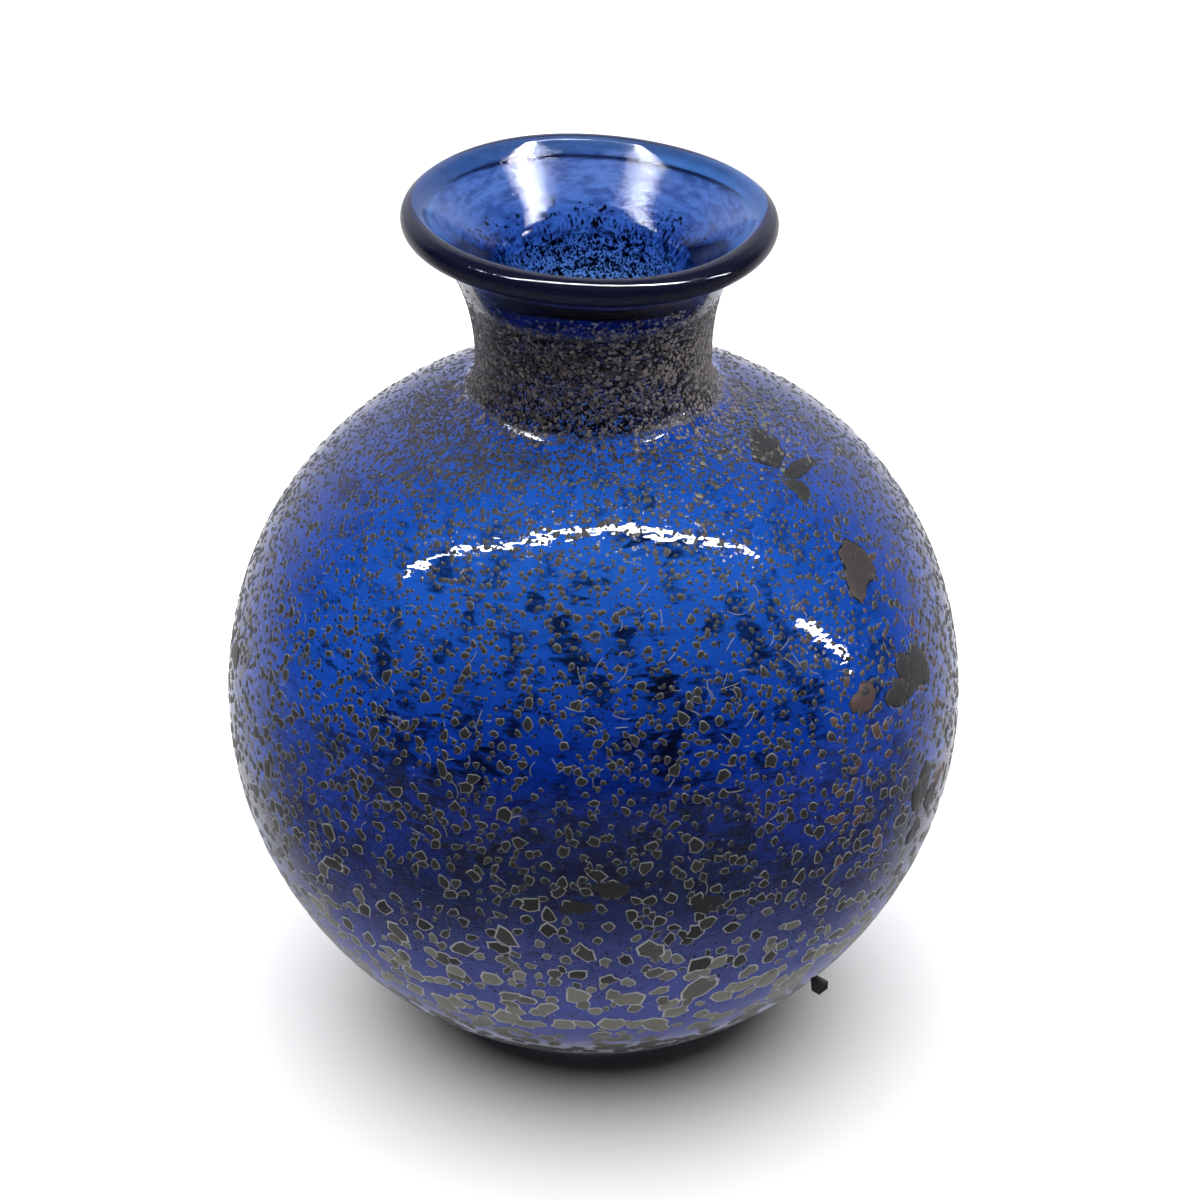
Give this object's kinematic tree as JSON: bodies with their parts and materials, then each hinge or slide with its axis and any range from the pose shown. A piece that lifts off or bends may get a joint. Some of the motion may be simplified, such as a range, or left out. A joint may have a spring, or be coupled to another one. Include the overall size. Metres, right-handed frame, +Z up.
{
  "type": "glass perfume flask",
  "caption": "Globular hand-blown flask of cobalt-blue glass with a short waisted neck, a funnel mouth with a rounded lip, and a weathered, spotted surface; holds perfume or oil.",
  "frame": {"origin": "centre of the foot ring, on the surface that the flask stands on", "axes": "+Z up along the flask's axis, out of the mouth; -Y is the side that faces the viewer in the picture; the lip stands slightly higher towards -X"},
  "size_m": [0.068, 0.068, 0.081],
  "materials": {
    "cobalt_glass": "glossy cobalt-blue glass, partly covered by a thin weathered crust",
    "weathered_crust": "thin brown-grey weathering crust with a dull metallic sheen"
  },
  "bodies": {
    "root": {"flask": "cobalt_glass"}
  },
  "joints": []
}
